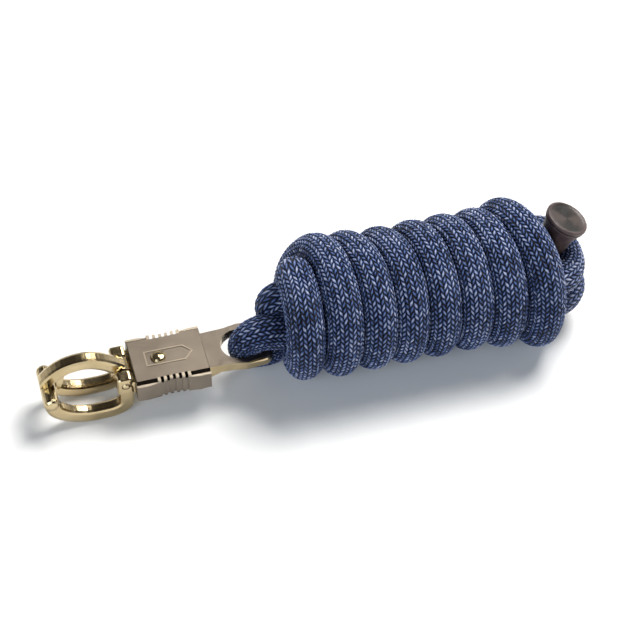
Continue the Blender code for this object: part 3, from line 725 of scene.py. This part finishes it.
def rope_mesh(points, along, around):
    """The rope's skin through rings of points, closed at both ends. Its UV layer counts the stitches."""
    rows = len(along)
    index = np.arange(rows * AROUND).reshape(rows, AROUND)
    following = np.roll(index, -1, axis=1)
    quads = np.stack((index[:-1], following[:-1], following[1:], index[1:]), axis=-1).reshape(-1, 4)
    cut_ends = [list(index[0][::-1]), list(index[-1])]
    mesh = bpy.data.meshes.new("braided_rope")
    mesh.from_pydata(points.reshape(-1, 3).tolist(), [], quads.tolist() + cut_ends)

    low = np.broadcast_to(along[:-1, None], (rows - 1, AROUND))
    high = np.broadcast_to(along[1:, None], (rows - 1, AROUND))
    left = np.broadcast_to(around[None, :], (rows - 1, AROUND))
    right = left + STITCH_COLUMNS / AROUND
    corners = np.stack((low, left, low, right, high, right, high, left), axis=-1).reshape(-1)
    # the two cut ends carry no stitches
    flat = np.concatenate((corners, np.zeros(4 * AROUND)))
    mesh.uv_layers.new(name="braid").data.foreach_set("uv", flat.astype(np.float32))
    mesh.shade_smooth()
    return mesh


def make_rope(look):
    samples = smooth_route(rope_route(), ALONG_STEP)
    path = samples[:, :3]
    radii = samples[:, 3]
    lengths = run_lengths(path)
    normals, sides = carried_frames(path)
    turn = np.arange(AROUND) / AROUND
    angle = (2 * np.pi * turn)[None, :, None]
    outward = normals[:, None, :] * np.cos(angle) + sides[:, None, :] * np.sin(angle)
    offsets = outward * radii[:, None, None]
    swell_turns(path, offsets)
    press_sections(path, lengths, radii, offsets)
    along = lengths / STITCH_PITCH
    around = turn * STITCH_COLUMNS
    relief = stitch_height(along[:, None], around[None, :]) - RELIEF_LEVEL
    offsets += outward * (relief * STITCH_RELIEF)[:, :, None]

    mesh = rope_mesh((path[:, None, :] + offsets) * MM, along, around)
    mesh.materials.append(look)
    rope = add_object("braided_rope", mesh)
    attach(rope, LEAD)
    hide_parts("rope_hank", "rope_left_bight", "rope_eye_loop", "rope_lower_bight", "rope_upper_bight",
                "rope_free_end")


# ---------------------------------------------------------------- turned leather and spring

def turned_piece(name, profile, place, closed=False):
    """A piece turned from (radius, height) points in millimetres. A closed profile makes a tube."""
    bm = bmesh.new()
    rings = []
    for radius, height in profile:
        ring = []
        for k in range(CAP_SEGMENTS if radius else 1):
            angle = 2 * math.pi * k / CAP_SEGMENTS
            spot = Vector((radius * math.cos(angle), radius * math.sin(angle), height))
            ring.append(bm.verts.new(spot * MM))
        rings.append(ring)
    for low, high in zip(rings, rings[1:] + rings[:1] if closed else rings[1:]):
        for k in range(CAP_SEGMENTS):
            n = (k + 1) % CAP_SEGMENTS
            corners = [low[k % len(low)], low[n % len(low)], high[n % len(high)], high[k % len(high)]]
            corners = list(dict.fromkeys(corners))
            if len(corners) > 2:
                bm.faces.new(corners)
    bmesh.ops.transform(bm, matrix=place, verts=bm.verts)
    bmesh.ops.recalc_face_normals(bm, faces=bm.faces)
    mesh = bpy.data.meshes.new(name)
    bm.to_mesh(mesh)
    bm.free()
    mesh.shade_smooth()
    return add_object(name, mesh)


def along_cap(distance):
    """A frame whose Z runs out along the cap, at a distance from the top of its disc."""
    turn = CAP_DIRECTION.to_track_quat("Z", "Y").to_matrix().to_4x4()
    return Matrix.Translation(cap_point(distance) * MM) @ turn


def make_cap_tube(side_look):
    """The trumpet-shaped leather tube, with a rounded mouth and a rolled rim."""
    mouth = 0.5
    wall = 22.6
    steps = 24
    profile = [(CAP_BORE_R, 0.4), (6.8, 0.05), (7.2, -0.1), (7.6, 0.05), (CAP_R, mouth)]
    for i in range(1, steps + 1):
        part = i / steps
        flare = max(0.0, (part - CAP_FLARE_START) / (1.0 - CAP_FLARE_START))
        profile.append((CAP_R + CAP_FLARE * flare ** 2.2, mouth + wall * part))
    profile += [(10.25, 23.5), (10.15, 23.9), (9.8, CAP_L), (CAP_BORE_R, CAP_L)]
    tube = turned_piece("leather_cap_tube", profile, along_cap(-CAP_L - DISC_T - CAP_GAP), closed=True)
    tube.data.materials.append(side_look)
    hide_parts("cap_sleeve")
    return tube


def make_cap_disc(side_look, face_look):
    """The dished leather disc that closes the tube, with a rounded edge."""
    edge = [(9.5, 0), (10.2, 0.12), (10.5, 0.5), (10.55, 1.0), (10.45, 1.55), (10.1, 1.95), (9.6, 2.05)]
    dish = [(9.1, 1.9), (8.6, 1.6), (7.4, 1.5), (5.0, 1.42), (2.4, 1.36), (0, 1.35)]
    disc = turned_piece("leather_cap_disc", [(0, 0)] + edge + dish, along_cap(-DISC_T))
    across = along_cap(0.0).inverted()
    layer = disc.data.uv_layers.new(name="face")
    for loop in disc.data.loops:
        layer.data[loop.index].uv = (across @ disc.data.vertices[loop.vertex_index].co).xy / (10.0 * MM)
    disc.data.materials.append(face_look)
    disc.data.materials.append(side_look)
    centre = cap_point(-DISC_T) * MM
    for face in disc.data.polygons:
        if (face.center - centre).cross(CAP_DIRECTION).length > DISC_FACE_R * MM:
            face.material_index = 1
    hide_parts("cap_disc")
    return disc


def make_cap():
    side_look = leather_material("cap_side_look", (0.024, 0.014, 0.014), (0.095, 0.062, 0.060))
    face_look = leather_material("cap_face_look", (0.007, 0.005, 0.004), (0.048, 0.034, 0.030), painted_sheen=0.24)
    pieces = [make_cap_tube(side_look), make_cap_disc(side_look, face_look)]
    for piece in pieces:
        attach(piece, LEAD)
    return pieces


def make_spring(look):
    """The return spring as a fine round coil."""
    start, end = SPRING_X
    steps = int(SPRING_TURNS * SPRING_STEPS)
    verts, faces = [], []
    for i in range(steps + 1):
        share = i / steps
        angle = 2 * math.pi * SPRING_TURNS * share
        outward = Vector((0, math.cos(angle), math.sin(angle)))
        centre = Vector((start + (end - start) * share, 0, SPRING_Z)) + outward * SPRING_R
        for k in range(SPRING_SIDES):
            turn = 2 * math.pi * k / SPRING_SIDES
            spot = centre + SPRING_WIRE_R * (outward * math.cos(turn) + Vector((math.sin(turn), 0, 0)))
            verts.append(spot * MM)
    for i in range(0, SPRING_SIDES * steps, SPRING_SIDES):
        for k in range(SPRING_SIDES):
            n = (k + 1) % SPRING_SIDES
            faces.append((i + k, i + n, i + SPRING_SIDES + n, i + SPRING_SIDES + k))
    faces.append(tuple(range(SPRING_SIDES))[::-1])
    faces.append(tuple(range(SPRING_SIDES * steps, SPRING_SIDES * (steps + 1))))
    mesh = bpy.data.meshes.new("coil_spring")
    mesh.from_pydata(verts, [], faces)
    mesh.materials.append(look)
    mesh.shade_smooth()
    spring = add_object("coil_spring", mesh)
    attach(spring, LEAD)
    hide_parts("return_spring")
    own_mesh(spring)


def dress_hook():
    """Give the frame's own solids of the hook their looks, by their material slots."""
    looks = {
        "plated_brass": brass_material("plated_brass_look"),
        "satin_plate": satin_material(),
    }
    body_look = brass_material("hook_casting_look", SATIN_FROM_X)
    slot_of = {part["node"]: part["material_slot"] for part in frame["record"]["subparts"]}
    for name, node in frame["nodes"].items():
        look = body_look if name == "hook_body" else looks.get(slot_of[name])
        if look:
            node.data.materials.clear()
            node.data.materials.append(look)


make_camera()
make_floor()
make_lights()
make_sky()
cap_pieces = make_cap()
make_rope(braid_material())
make_spring(steel_material())
dress_hook()
